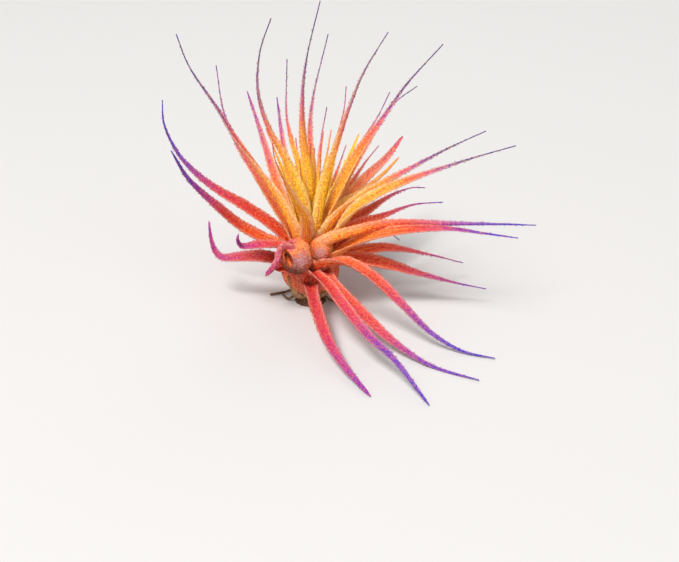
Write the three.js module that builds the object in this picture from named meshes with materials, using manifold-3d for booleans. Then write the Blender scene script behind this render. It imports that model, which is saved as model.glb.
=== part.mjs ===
// Guatemala ionantha air plant: a small rosette of channelled leaves on a short woody stem, lifted off what
// it grew on and resting on a surface. Millimetres, +Z up, front towards -Y. The origin is the middle of
// the stem's trimmed foot, which rests on z = 0 together with the tips of the lowest leaves.
import * as THREE from "three";
import { mergeVertices } from "three/addons/utils/BufferGeometryUtils.js";
import Module from "manifold-3d";

// The leaves' sizes
const SHEATH = [0.8, 0.22]; // how much wider it is than the blade, and the share of the length where it ends
const SHEATH_CURVE = 1.5; // above 1 it narrows fast at first
const TAPER = 0.54; // where a blade has narrowed by half, as a share of the leaf's length
const TAPER_POWER = 4.5; // above 1 it narrows late and fast
const BASE_THICKNESS = 0.95;
const TIP_THICKNESS = 0.62;
const TIP_WIDTH = 0.7;
const CHANNEL_DEPTH = 0.28; // of the hollow upper face at the base, as a share of the width
const CHANNEL_FADE = 0.5; // how much shallower the hollow is at the tip
const UNDERSIDE = 0.9; // the underside's width, as a share of the upper face's
const RINGS = { measured: 9, back: 6, sheath: 3 }; // steps along a leaf of each kind
const TURNS = 54; // finer steps, in which a leaf turns about its midrib; the rings are some of them
const RING_SPREAD = 1.2; // above 1 the steps are closer together near the base
const RIGHTING = [0, 0, 0.09]; // which way and how fast a hollow face turns, from one turn to the next
const FACING = [0, -0.08, 0.08]; // the same, for the leaves that the front view shows
const RIGHTING_REACH = 0.5; // how far from that way, as a cosine, a face may start and still turn
const GAP = 0.3; // between whorls that touch
const SMALLEST_DETAIL = 0.08; // of the joined surfaces
const TIP_HEIGHT = 0.45; // of the middle of a tip that rests on the surface

// The stem's sizes
const FOOT_RADIUS = 3.8;
const STEM_TOP = 12;
const ROOT_DIAMETER = 1;

// The front view that the visible leaves were measured in: from a little above, aimed beside the heart,
// which is the middle of the rosette.
const HEART_HEIGHT = 12;
const VIEW_ELEVATION = THREE.MathUtils.degToRad(27);
const VIEW_DISTANCE = 314.4;
const VIEW_AIM = { right: 7, up: -6.2 };

// The visible leaves, each with its blade's width, its depth at the base and the tip, which is how far they
// lie behind the stem's axis, and its midrib as the front view shows it: [right, up] from the heart, base
// first. A leaf without a tip depth rests its tip on the surface. Some have a taper, a sheath or a righting
// of their own.
const INNER_LEAVES = [
  { width: 2.9, depth: [-2.5, -4],
    midrib: [[-1.7, 3.6], [-1.7, 12.4], [-6.2, 23.3], [-9.8, 30], [-12.4, 39], [-11.9, 48.6],
      [-9.3, 56.4]] },
  { width: 2.2, depth: [1, 22],
    midrib: [[0.7, 6.5], [-1.2, 17.9], [-3.6, 24.5], [-5.5, 32.4], [-5.5, 46.7]] },
  { width: 2.4, depth: [-0.5, 9],
    midrib: [[0, 4.8], [0.2, 17.6], [-1.4, 25], [-1.9, 36.2], [-0.9, 46.4], [2.4, 60.5]] },
  { width: 2.1, depth: [2, 27],
    midrib: [[1.2, 8], [0.6, 19.3], [0, 27.4], [0.5, 36.2], [4.3, 52.6]] },
  { width: 2.4, depth: [-2, 10],
    midrib: [[1, 5], [1.9, 19.3], [2.6, 27.4], [4, 35.2]] },
  { width: 2.6, depth: [1.5, 24],
    midrib: [[2.2, 9], [4.8, 21], [8.1, 34.8], [8.6, 40.2]] },
  { width: 3.4, depth: [-2, 2],
    midrib: [[1.7, 5], [3.3, 15.7], [6, 25], [9.3, 35.5], [12.6, 43.3], [18.6, 53.1]] },
  { width: 2.6, depth: [0.5, 12], taper: 0.7,
    midrib: [[2.6, 7], [5.6, 14], [9, 22.4], [11.7, 29]] },
];
const MIDDLE_LEAVES = [
  { width: 2.7, depth: [1, 24],
    midrib: [[-4.4, 5], [-8.4, 12], [-12.4, 18.6], [-16.9, 25.5], [-20.5, 33.8], [-22.4, 45.2]] },
  { width: 3.2, depth: [-3, 4],
    midrib: [[-3.2, 4.2], [-6.9, 12.4], [-11.4, 19], [-17.6, 27.4], [-21.7, 34.3], [-29, 45.2],
      [-31.9, 52.6]] },
  { width: 2.2, depth: [2, 30], taper: 0.75,
    midrib: [[-3.6, 6], [-7.4, 15.7], [-9.5, 22.1], [-12.4, 31.2], [-15, 39]] },
  { width: 1.9, depth: [3.5, 36], taper: 0.75,
    midrib: [[-2.6, 8], [-4.6, 16], [-6.4, 26.2], [-7.9, 37.6]] },
  { width: 2.5, depth: [-5, -22], sheath: [1, 0.45],
    midrib: [[-0.8, 3], [-1, 8.6], [-4.3, 14.3], [-8.3, 22.6], [-9, 26.9]] },
  { width: 3.2, depth: [-1, 7],
    midrib: [[3.4, 6], [7.9, 17.6], [11.9, 25], [16.9, 31.9], [22.9, 40.5], [31.7, 50.2]] },
  { width: 2.3, depth: [2.5, 28],
    midrib: [[3.4, 8], [8, 17], [14.3, 27.4], [20.2, 36.2], [25.5, 40.2]] },
  { width: 2.4, depth: [3, 34],
    midrib: [[3, 8.5], [7, 17.5], [12.4, 27], [16.2, 33.1], [19, 38.8]] },
  { width: 2.8, depth: [3, 36], taper: 0.84,
    midrib: [[4.4, 7.5], [8.8, 13.4], [13.6, 18.6], [18.3, 23.2], [22.1, 28.3]] },
  { width: 2.5, depth: [-2.5, 24], taper: 0.74,
    midrib: [[3.4, 4.6], [4.4, 9.6], [7, 12], [10.7, 14.2], [17.4, 19.3], [21.2, 23.3]] },
  { width: 3.3, depth: [-3.5, 4],
    midrib: [[3.4, 5], [7.5, 10.6], [13.1, 14.5], [17.9, 17.3], [22.4, 19.8], [33.3, 25.6], [41.9, 29.5]] },
  { width: 3.4, depth: [-4.5, -9],
    midrib: [[4.6, 2.8], [9.8, 10], [14.5, 13.6], [21.4, 17], [30, 20.2], [39.5, 23.3], [49, 26]] },
];
const OUTER_LEAVES = [
  { width: 2.8, depth: [2.5, 6], taper: 0.62,
    midrib: [[-5.8, 4], [-15.2, 11.4], [-22.1, 15.5], [-26.7, 19], [-31.2, 23.8], [-34.8, 31.2],
      [-35.2, 36.9]] },
  { width: 3.3, depth: [-3, -14], taper: 0.68,
    midrib: [[-5.8, 1.4], [-10.7, 3.5], [-14, 5.2], [-17.5, 7.4], [-21.4, 10.8], [-29, 18.1],
      [-33.1, 24.8]] },
  { width: 3, depth: [4, 34],
    midrib: [[5.4, 5], [12.9, 10], [19.5, 14.3], [24.3, 16], [27.4, 16]] },
  { width: 2.8, depth: [3, 22],
    midrib: [[6, 4], [10.7, 7.1], [17.1, 9.2], [24.3, 11.9], [31.7, 12.6]] },
  { width: 3, depth: [-7, -6], taper: 0.62, sheath: [1.1, 0.3],
    midrib: [[1.6, -2], [2.2, 0.6], [3.6, 2.8], [6.5, 4.2], [11, 5.5], [15.5, 6.7], [21.4, 7.3],
      [41.7, 7.4], [53.8, 7.1]] },
  { width: 3.2, depth: [-5.5, -15], taper: 0.6,
    midrib: [[5, -0.8], [8.3, 1.5], [11, 3], [15, 4.5], [21.4, 5.8], [32.1, 6.3], [41.7, 5.1], [49.5, 4]] },
  { width: 2.9, depth: [-1, 10],
    midrib: [[6.4, -0.6], [10.7, 0.5], [17.9, 1.7], [27.9, 0.2], [36.4, -1.9]] },
  { width: 4, depth: [-4.5, -3],
    midrib: [[5.6, -2.2], [8.6, -1.3], [11.6, -1.2], [15.5, -1.8], [20, -2.8], [24.4, -4], [34.5, -6.6],
      [41.9, -8.1]] },
  { width: 3.1, depth: [-6.5], taper: 0.64,
    midrib: [[1.2, -2.9], [7.9, -1.6], [14.5, -5], [21.2, -11.2], [28.8, -18.6], [36.2, -22.9],
      [44, -24.6]] },
  { width: 3, depth: [-6], taper: 0.64,
    midrib: [[2.6, -4.6], [6.2, -8.1], [12.9, -14.5], [19.5, -20.5], [28.8, -26.4], [40.2, -29.8]] },
  { width: 2.8, depth: [-6.5], taper: 0.74,
    midrib: [[-0.3, -4.2], [3.4, -6.4], [8.6, -12.9], [13.6, -19], [20.2, -25.2], [28.3, -35.7]] },
  { width: 2.7, depth: [-5.5], taper: 0.84,
    midrib: [[0, -7], [0.9, -11], [4.3, -20.5], [8.6, -27.1], [14.3, -33.6]] },
  { width: 4, depth: [-4, 4], taper: 0.66,
    midrib: [[-5, -1.4], [-8.6, -1.2], [-12.5, -0.6], [-18.5, -0.7], [-20.8, -0.7], [-22.5, 0.7],
      [-23.6, 4], [-24.1, 8.1]] },
  { width: 3.7, depth: [-5.5, -10], taper: 0.8,
    midrib: [[-3.4, 2], [-6.4, 2.2], [-9.6, 2.3], [-12.5, 2.3], [-14.9, 2], [-16.4, 2], [-17.3, 3.3],
      [-17.1, 4.8]] },
  { width: 2.6, depth: [-7.5, -10], taper: 1.4, righting: [0, 0, 0],
    midrib: [[-4.6, 1.6], [-6.3, 2], [-7, 0.8], [-7.3, -0.8], [-8.1, -2.5], [-9.5, -4.1], [-10.6, -5]] },
  { width: 5, depth: [-5, -8], taper: 0.9,
    midrib: [[-2.6, -3.8], [-5, -3], [-8.6, -3.2]] },
];

// The knobs: the swollen bases of two outer leaves at the front, with their places as the front view shows
// them and their radii. The first leaf has dried short and curled over on itself.
const KNOBS = [
  { place: [-3.1, -0.2], behind: -7, reach: [3.8, 3.2, 3.9] },
  { place: [2.5, 1.6], behind: -6.6, reach: [2.4, 2.3, 2.9] },
];

// How a leaf's depth grows from its base to its tip: slower at first, so that the leaf rises before it
// bends out, or faster at first where it arches down to the surface.
const DEPTH_EASE = 1.2;
const SURFACE_EASE = 0.75;

// The back, which the front view hides: leaves spread over an arc behind the stem by the golden ratio.
const GOLDEN_RATIO = 0.618;
const BACK_LEAVES = {
  inner: { seed: 3, count: 6, arc: [40, 140], rise: [84, 66], length: [24, 32], droop: [0, 6], width: 2.7 },
  middle: { seed: 5, count: 8, arc: [45, 122], rise: [60, 36], length: [27, 34], droop: [6, 20], width: 3 },
  outer: { seed: 8, count: 8, arc: [48, 118], rise: [44, 20], length: [35, 41], droop: [26, 44], width: 3 },
};
const LENGTH_SPREAD = [0.85, 1.1]; // by which a back leaf's length varies, as a share
const RISE_SPREAD = [-5, 5]; // by which its rise varies, in degrees
const DROOP_STEPS = 5; // along its midrib

// Short clasping sheaths that cover the bulb, one whorl over the next, with the radius and height of their
// midribs.
const BULB_SHEATHS = {
  inner: { count: 3, width: 2.8, midrib: [[2, 14], [3.2, 16], [2.7, 19], [1.8, 22]] },
  middle: { count: 5, width: 3.2, midrib: [[3.8, 9.4], [5.1, 11], [4.9, 14], [4.1, 17]] },
  outer: { count: 7, width: 3.4, midrib: [[4, 4.4], [6, 6.6], [6.3, 9.4], [5.7, 12.6]] },
};

// The collars that hold the leaves of each whorl. A collar's outline is radius and height, from its bottom
// next to the stem. Its leaves root at one radius, and at a height between two limits, with a sheath that
// widens the most in the outer whorl.
const WHORLS = {
  inner: {
    root: { radius: 1.4, height: [13.6, 15], sheath: [0.35, 0.22] },
    collar: [[0, 12.6], [3, 12.6], [3.3, 15], [2.6, 18], [1.2, 20], [0, 20.4]],
  },
  middle: {
    root: { radius: 3.4, height: [9.8, 11.4], sheath: [0.5, 0.22] },
    collar: [[2.1, 8.8], [4.4, 8.6], [5, 10.6], [4.6, 13.4], [4, 14.6], [3.8, 12.2], [2.1, 12.2]],
  },
  outer: {
    root: { radius: 4, height: [5.2, 7.4], sheath: [0.8, 0.22] },
    collar: [[2.7, 4], [4.6, 3.8], [6, 6.2], [6.2, 8.6], [5.8, 10.4], [5.4, 8.2], [2.2, 8.2]],
  },
};
const SHEATH_RISE = 4.5; // of a leaf's visible base above its root, where the collar allows it

const wasm = await Module();
wasm.setup();

// A closed geometry as a solid that can be joined and cut.
function solidOf(geometry) {
  geometry.deleteAttribute("normal");
  geometry.deleteAttribute("uv");
  const merged = mergeVertices(geometry, 1e-4);
  return new wasm.Manifold(
    new wasm.Mesh({
      numProp: 3,
      vertProperties: merged.attributes.position.array,
      triVerts: new Uint32Array(merged.index.array),
    }),
  );
}

// A solid's largest body with its hollows filled, which leaves out loose scraps.
function largestBody(solid) {
  return solid.decompose().sort((a, b) => b.volume() - a.volume())[0];
}

function geometryOf(solid) {
  const { vertProperties, triVerts } = solid.getMesh();
  const geometry = new THREE.BufferGeometry();
  geometry.setAttribute("position", new THREE.BufferAttribute(vertProperties, 3));
  geometry.setIndex(new THREE.BufferAttribute(triVerts, 1));
  geometry.computeVertexNormals();
  return geometry;
}

// The axes of the front view
const viewUp = new THREE.Vector3(0, Math.sin(VIEW_ELEVATION), Math.cos(VIEW_ELEVATION));
const viewNear = new THREE.Vector3(0, -Math.cos(VIEW_ELEVATION), Math.sin(VIEW_ELEVATION));
const inView = (right, up) =>
  new THREE.Vector3(right, 0, HEART_HEIGHT).addScaledVector(viewUp, up);
const eye = inView(VIEW_AIM.right, VIEW_AIM.up).addScaledVector(viewNear, VIEW_DISTANCE);

// The point seen at [right, up], at a depth behind the stem's axis.
function seen([right, up], behind) {
  const sight = inView(right, up).sub(eye);
  return eye.clone().addScaledVector(sight, (behind - eye.y) / sight.y);
}

// The point seen at [right, up] where the sight line meets the surface, a tip's height above it.
function onSurface([right, up]) {
  const sight = inView(right, up).sub(eye);
  return eye.clone().addScaledVector(sight, (TIP_HEIGHT - eye.z) / sight.z);
}

// A measured leaf's midrib in space, from its root in the whorl's collar.
function measuredLeaf({ depth: [base, tipDepth], midrib, ...shape }, root) {
  const tip = midrib.at(-1);
  const deepest = tipDepth ?? onSurface(tip).y;
  const along = [0];
  for (let i = 1; i < midrib.length; i++) {
    along.push(along[i - 1] + Math.hypot(midrib[i][0] - midrib[i - 1][0], midrib[i][1] - midrib[i - 1][1]));
  }
  const points = midrib.map((point, i) => {
    const share = (along[i] / along.at(-1)) ** (tipDepth === undefined ? SURFACE_EASE : DEPTH_EASE);
    const place = seen(point, base + (deepest - base) * share);
    return place.z < TIP_HEIGHT ? onSurface(point) : place;
  });
  const start = points[0].clone().setZ(0).setLength(root.radius);
  start.z = THREE.MathUtils.clamp(points[0].z - SHEATH_RISE, ...root.height);
  const { sheath } = root;
  return { righting: FACING, sheath, ...shape, rings: RINGS.measured, points: [start, ...points] };
}

// A fixed sequence of numbers between 0 and 1.
function seededNumbers(seed) {
  let state = seed;
  return () => {
    state = (state * 16807) % 2147483647;
    return state / 2147483647;
  };
}

// A point at an angle round the stem, in degrees.
function atAngle(around, radius, height) {
  const angle = THREE.MathUtils.degToRad(around);
  return new THREE.Vector3(radius * Math.cos(angle), radius * Math.sin(angle), height);
}

const between = ([from, to], share) => from + (to - from) * share;

// A leaf that leaves the collar at an angle round the stem and a rise above level, and droops towards its
// tip.
function radialLeaf({ width, length, rise, droop, around }, root) {
  const points = [];
  let radius = root.radius;
  let height = root.height[1];
  for (let i = 0; i <= DROOP_STEPS; i++) {
    points.push(atAngle(around, radius, Math.max(height, TIP_HEIGHT)));
    const slope = THREE.MathUtils.degToRad(rise - (2 * droop * i) / DROOP_STEPS);
    radius += (length / DROOP_STEPS) * Math.cos(slope);
    height += (length / DROOP_STEPS) * Math.sin(slope);
  }
  return { width, rings: RINGS.back, points };
}

function backLeaves({ seed, count, arc, rise, length, droop, width }, root) {
  const next = seededNumbers(seed);
  return Array.from({ length: count }, (_, i) => {
    const share = i / (count - 1);
    const leaf = {
      width,
      around: between(arc, ((i + seed) * GOLDEN_RATIO) % 1),
      length: between(length, share) * between(LENGTH_SPREAD, next()),
      rise: between(rise, share) + between(RISE_SPREAD, next()),
      droop: between(droop, share),
    };
    return radialLeaf(leaf, root);
  });
}

function bulbSheaths({ count, width, midrib }) {
  return Array.from({ length: count }, (_, i) => {
    const points = midrib.map(([radius, height]) => atAngle((i * 360) / count, radius, height));
    return { width, rings: RINGS.sheath, points };
  });
}

// One leaf as a closed geometry: a wide sheath that narrows to a channelled blade, hollow on the side
// towards the stem. With clearance it is that much larger all round.
function leafGeometry(leaf, clearance) {
  const { width, rings, points, taper = TAPER, sheath: [widening, end] = SHEATH, righting = RIGHTING } = leaf;
  const line = new THREE.CatmullRomCurve3(points, false, "centripetal");
  const out = points[1].clone().setZ(0).normalize();
  const upper = new THREE.Vector3(0, 0, 1).sub(out);
  const turn = new THREE.Vector3(...righting);
  const goal = turn.clone().normalize();
  const across = new THREE.Vector3();
  const positions = [];
  for (let step = 0; step <= TURNS; step++) {
    const along = (step / TURNS) ** RING_SPREAD;
    const forward = line.getTangentAt(along);
    upper.addScaledVector(forward, -upper.dot(forward)).normalize();
    upper.addScaledVector(turn, THREE.MathUtils.clamp(upper.dot(goal) + RIGHTING_REACH, 0, 1));
    upper.addScaledVector(forward, -upper.dot(forward)).normalize();
    if (step % (TURNS / rings) > 0) continue;
    const centre = line.getPointAt(along);
    across.crossVectors(forward, upper);
    if (step === 0) centre.addScaledVector(forward, -clearance);
    if (step === TURNS) centre.addScaledVector(forward, clearance);
    const blade = 1 / (1 + (along / taper) ** TAPER_POWER);
    const sheath = widening * Math.max(0, 1 - along / end) ** SHEATH_CURVE;
    const span = Math.max(TIP_WIDTH, width * (blade + sheath));
    const hollow = CHANNEL_DEPTH * span * (1 - CHANNEL_FADE * along);
    const half = span / 2 + clearance;
    const thick = between([BASE_THICKNESS, TIP_THICKNESS], along);
    const section = [
      [-half, hollow + clearance],
      [0, clearance],
      [half, hollow + clearance],
      [half * UNDERSIDE, hollow - TIP_THICKNESS - clearance],
      [0, -thick - clearance],
      [-half * UNDERSIDE, hollow - TIP_THICKNESS - clearance],
    ];
    for (const [side, lift] of section) {
      positions.push(centre.clone().addScaledVector(across, side).addScaledVector(upper, lift).toArray());
    }
  }
  const sides = positions.length / (rings + 1);
  const faces = [];
  for (let i = 0; i < rings; i++) {
    for (let j = 0; j < sides; j++) {
      const a = i * sides + j;
      const b = i * sides + ((j + 1) % sides);
      faces.push(a, b, a + sides, b, b + sides, a + sides);
    }
  }
  const last = rings * sides;
  for (const [a, b, c] of [[0, 1, 5], [1, 2, 3], [1, 3, 4], [1, 4, 5]]) {
    faces.push(a, c, b, last + a, last + b, last + c);
  }
  const geometry = new THREE.BufferGeometry();
  geometry.setAttribute("position", new THREE.Float32BufferAttribute(positions.flat(), 3));
  geometry.setIndex(faces);
  return geometry;
}

// The collar of a whorl, turned about the stem; its outline is radius and height, and closes on itself or
// on the axis. With clearance it is thicker by that all round.
function collarSolid(outline, clearance) {
  const middle = [0, 1].map((i) => outline.reduce((sum, point) => sum + point[i] / outline.length, 0));
  const grown = outline.map(([r, z]) => {
    const away = new THREE.Vector2(r - middle[0], z - middle[1]).setLength(clearance);
    return new THREE.Vector2(r === 0 ? 0 : Math.max(0.01, r + away.x), z + away.y);
  });
  if (outline[0][0] > 0) grown.push(grown[0].clone());
  return solidOf(latheGeometry(grown));
}

// A body of revolution about Z.
function latheGeometry(outline, segments = 16) {
  return new THREE.LatheGeometry(outline, segments).rotateX(Math.PI / 2);
}

const measured = { inner: INNER_LEAVES, middle: MIDDLE_LEAVES, outer: OUTER_LEAVES };

function whorlSolid(name, clearance) {
  const { root, collar } = WHORLS[name];
  const leaves = [
    ...measured[name].map((row) => measuredLeaf(row, root)),
    ...backLeaves(BACK_LEAVES[name], root),
    ...bulbSheaths(BULB_SHEATHS[name]),
  ];
  return leaves.reduce(
    (whole, leaf) => whole.add(solidOf(leafGeometry(leaf, clearance))),
    collarSolid(collar, clearance),
  );
}

function knobSolid({ place, behind, reach }) {
  return solidOf(new THREE.SphereGeometry(1, 16, 10)).scale(reach).translate(...seen(place, behind));
}

// The stem: a tapered woody stub with a flat foot, as radius and height, and wiry roots round it.
const STEM_OUTLINE = [
  [0, 0],
  [FOOT_RADIUS, 0],
  [3.4, 1.2],
  [2.5, 2.8],
  [1.8, 5],
  [1.6, 9],
  [1.2, 11.6],
  [0, STEM_TOP],
];
const ROOTS = [
  { around: 35, reach: 9, turn: 40 },
  { around: 80, reach: 8, turn: -40 },
  { around: 140, reach: 10, turn: 30 },
  { around: 200, reach: 7, turn: -35 },
  { around: 330, reach: 7.5, turn: 30 },
];

// A root leaves the stem, comes down beyond the foot and lies on the surface.
function rootGeometry({ around, reach, turn }) {
  const rest = ROOT_DIAMETER / 2;
  const line = new THREE.CatmullRomCurve3([
    atAngle(around, 1.2, 2.6),
    atAngle(around, FOOT_RADIUS, 2),
    atAngle(around + turn / 3, (FOOT_RADIUS + reach) / 2, rest + 0.2),
    atAngle(around + turn, reach, rest),
  ]);
  const section = new THREE.Shape();
  section.absarc(0, 0, ROOT_DIAMETER / 2, 0, Math.PI * 2);
  const path = { steps: 7, curveSegments: 3, extrudePath: line, bevelEnabled: false };
  return new THREE.ExtrudeGeometry(section, path);
}

function stemSolid() {
  const core = solidOf(latheGeometry(STEM_OUTLINE.map(([r, z]) => new THREE.Vector2(r, z))));
  return ROOTS.reduce((whole, root) => whole.add(solidOf(rootGeometry(root))), core);
}

// Each whorl is cut clear of the ones inside it, and of the stem.
const stemClear = solidOf(
  latheGeometry(STEM_OUTLINE.map(([r, z]) => new THREE.Vector2(r && r + GAP, z && z + GAP))),
);
const innerClear = whorlSolid("inner", GAP);
const middleClear = whorlSolid("middle", GAP);
const inner = whorlSolid("inner", 0).subtract(stemClear);
const middle = whorlSolid("middle", 0).subtract(innerClear).subtract(stemClear);
const outer = KNOBS.reduce((whole, knob) => whole.add(knobSolid(knob)), whorlSolid("outer", 0))
  .subtract(middleClear)
  .subtract(innerClear)
  .subtract(stemClear);

// What lies on the surface is flat where it rests.
const surface = solidOf(new THREE.BoxGeometry(200, 200, 10).translate(0, 0, -5));

const plant = new THREE.Group();

function addPiece(name, solid, finish) {
  const body = largestBody(largestBody(solid).simplify(SMALLEST_DETAIL));
  const mesh = new THREE.Mesh(geometryOf(body), new THREE.MeshStandardMaterial(finish));
  mesh.name = name;
  plant.add(mesh);
}

addPiece("inner_leaves", inner, { color: 0xe8962c, roughness: 0.8, metalness: 0 });
addPiece("middle_leaves", middle, { color: 0xe06a3c, roughness: 0.8, metalness: 0 });
addPiece("outer_leaves", outer.subtract(surface), { color: 0xc8444f, roughness: 0.8, metalness: 0 });
addPiece("stem", stemSolid().subtract(surface), { color: 0x5a3d2a, roughness: 0.9, metalness: 0 });

export default plant;
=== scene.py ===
# Guatemala ionantha air plant: a small rosette of narrow channelled leaves, gold at the heart and violet at
# the tips, on a short woody stem, at rest on a surface. The leaf tables are in millimetres, and everything
# that is built from them is in metres, +Z up, with the front of the rosette towards -Y.
import random
from functools import partial
from math import atan2, cos, exp, hypot, pi, radians, sin, sqrt, tau

import bmesh
import bpy
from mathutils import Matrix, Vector, geometry, noise


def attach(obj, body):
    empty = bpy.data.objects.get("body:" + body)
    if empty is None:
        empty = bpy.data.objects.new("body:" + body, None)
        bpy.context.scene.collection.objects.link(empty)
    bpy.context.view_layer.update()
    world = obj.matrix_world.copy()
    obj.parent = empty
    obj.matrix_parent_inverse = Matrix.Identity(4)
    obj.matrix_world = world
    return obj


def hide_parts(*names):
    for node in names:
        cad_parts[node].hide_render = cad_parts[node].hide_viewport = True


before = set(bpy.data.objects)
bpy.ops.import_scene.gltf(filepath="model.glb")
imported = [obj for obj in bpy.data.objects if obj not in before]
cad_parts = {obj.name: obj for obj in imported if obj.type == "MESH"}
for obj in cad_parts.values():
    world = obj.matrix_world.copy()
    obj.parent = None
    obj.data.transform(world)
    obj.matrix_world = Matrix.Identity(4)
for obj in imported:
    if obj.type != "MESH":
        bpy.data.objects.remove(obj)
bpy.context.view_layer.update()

# The view. The plant is looked at from the front and a little above, as it stands on a table, through a
# short telephoto lens that is aimed just beside the heart, which is the middle of the rosette. The visible
# leaves were measured in this view.
MM = 0.001
HEART_HEIGHT = 12 * MM
VIEW_ELEVATION = radians(27)
VIEW_DISTANCE = 314.4 * MM
VIEW_AIM = (7, -6.2)
LENS = 70
NEAREST = 10 * MM  # that the lens shows

view_up = Vector((0, sin(VIEW_ELEVATION), cos(VIEW_ELEVATION)))
view_near = Vector((0, -cos(VIEW_ELEVATION), sin(VIEW_ELEVATION)))


def in_view(right, up):
    """The point in the plane of the view that is right and up of the heart, in millimetres."""
    return Vector((right * MM, 0, HEART_HEIGHT)) + view_up * (up * MM)


def new_object(name, data):
    """A new object in the scene."""
    made = bpy.data.objects.new(name, data)
    bpy.context.scene.collection.objects.link(made)
    return made


eye = in_view(*VIEW_AIM) + view_near * VIEW_DISTANCE
lens = bpy.data.cameras.new("camera")
lens.lens = LENS
lens.clip_start = NEAREST
camera = new_object("camera", lens)
camera.location = eye
camera.rotation_euler = (pi / 2 - VIEW_ELEVATION, 0, 0)
bpy.context.scene.camera = camera

# The stem: a short woody stub under the leaves, of dry brown fibrous bark, with its foot cut flat. The
# plant rests on the foot.
STEM_OUTLINE = [(0, 0), (3.8, 0), (3.65, 0.5), (3.2, 1.4), (2.5, 2.8), (1.8, 5), (1.6, 9), (1.2, 11.6),
                (0, 12)]
STEM_SIDES = 40
SAME_PLACE = 0.001  # corners closer than this are one
BARK_CUTS = 4  # in each edge that rises by more than:
BARK_CUT_RISE = 0.3
BARK_CORE = 1  # the radius within which the foot has no ridges
BARK_RIDGES = 0.22  # how far they stand out
BARK_RIDGE_RATE = (4, 0.25)  # how fast they change round the stem, and along a millimetre of it
BARK_OCTAVES = (0.8, 2, 4)  # how fast the finer ridges fade, how much finer they get, and how many times
BARK_FIBRE = dict(streaks=(1500, 1500, 350), height=0.12, colours=[  # streaks to a metre each way
    (0.25, "#2c1a10"), (0.5, "#5b3d28"), (0.68, "#84624a"), (0.85, "#b59a80")])
FIBRE_SKIN = {"Roughness": 0.88, "Specular IOR Level": 0.25}
FIBRE_DETAIL = 6
FIBRE_HARSHNESS = 0.7


def shade(code):
    """A colour from its code, in Blender's linear light."""
    parts = [int(code[i:i + 2], 16) / 255 for i in (1, 3, 5)]
    return (*(c / 12.92 if c < 0.04045 else ((c + 0.055) / 1.055) ** 2.4 for c in parts), 1)


def feed(node, inputs):
    """Gives each named input of a node its value, or links it to the output that feeds it."""
    for name, source in inputs.items():
        if isinstance(source, bpy.types.NodeSocket):
            node.id_data.links.new(source, node.inputs[name])
        else:
            node.inputs[name].default_value = source


def new_node(tree, kind, inputs, **settings):
    """A new node of a kind, with its settings and its inputs."""
    node = tree.nodes.new(kind)
    for name, value in settings.items():
        setattr(node, name, value)
    feed(node, inputs)
    return node


def new_finish(name, inputs):
    """A new finish: its material, its tree of nodes, and its skin with these inputs."""
    finish = bpy.data.materials.new(name)
    finish.use_nodes = True
    skin = finish.node_tree.nodes["Principled BSDF"]
    feed(skin, inputs)
    return finish, finish.node_tree, skin


def colour_ramp(tree, colours, share):
    """The colour at a share of the way through some colours, which have a place each."""
    ramp = new_node(tree, "ShaderNodeValToRGB", {"Fac": share})
    for place, _ in colours[1:-1]:
        ramp.color_ramp.elements.new(place)
    for stop, (place, code) in zip(ramp.color_ramp.elements, colours):
        stop.position = place
        stop.color = shade(code)
    return ramp.outputs["Color"]


def stretched_noise(tree, place, stretch, detail=1, scale=1, harshness=0.5):
    """Noise that is finer or longer drawn along each axis by the number for that axis."""
    drawn = new_node(tree, "ShaderNodeMapping", {"Vector": place, "Scale": stretch})
    inputs = {"Vector": drawn.outputs["Vector"], "Scale": scale, "Detail": detail, "Roughness": harshness}
    return new_node(tree, "ShaderNodeTexNoise", inputs).outputs["Fac"]


def raised_by(tree, pattern, height):
    """The normals of a skin that a pattern raises by a height."""
    return new_node(tree, "ShaderNodeBump", {"Height": pattern, "Distance": height * MM}).outputs["Normal"]


def bark_finish(name, fibre):
    """Dry plant fibre: browns in streaks along the piece, rough, with the streaks raised."""
    finish, tree, skin = new_finish(name, FIBRE_SKIN)
    place = new_node(tree, "ShaderNodeTexCoord", {}).outputs["Object"]
    streaks = stretched_noise(tree, place, fibre["streaks"], FIBRE_DETAIL, harshness=FIBRE_HARSHNESS)
    colour = colour_ramp(tree, fibre["colours"], streaks)
    feed(skin, {"Base Color": colour, "Normal": raised_by(tree, streaks, fibre["height"])})
    return finish


def finished_piece(name, shape, finish):
    """Closes a bmesh into a named piece with its finish."""
    bmesh.ops.recalc_face_normals(shape, faces=shape.faces)
    for face in shape.faces:
        face.smooth = True
    mesh = bpy.data.meshes.new(name)
    shape.to_mesh(mesh)
    shape.free()
    mesh.materials.append(finish)
    return new_object(name, mesh)


def turned(shape, outline, steps):
    """Turns an outline of (radius, height) about the stem's axis. It closes on itself or on the axis."""
    corners = [shape.verts.new((radius * MM, 0, height * MM)) for radius, height in outline]
    pairs = zip(corners, corners[1:] + ([] if outline[0][0] == 0 else corners[:1]))
    edges = [shape.edges.new(pair) for pair in pairs]
    before = set(shape.verts) - set(corners)
    bmesh.ops.spin(shape, geom=[*corners, *edges], axis=(0, 0, 1), cent=(0, 0, 0), steps=steps,
                   angle=tau, use_merge=True)
    bmesh.ops.remove_doubles(shape, verts=[v for v in shape.verts if v not in before], dist=SAME_PLACE * MM)


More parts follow.
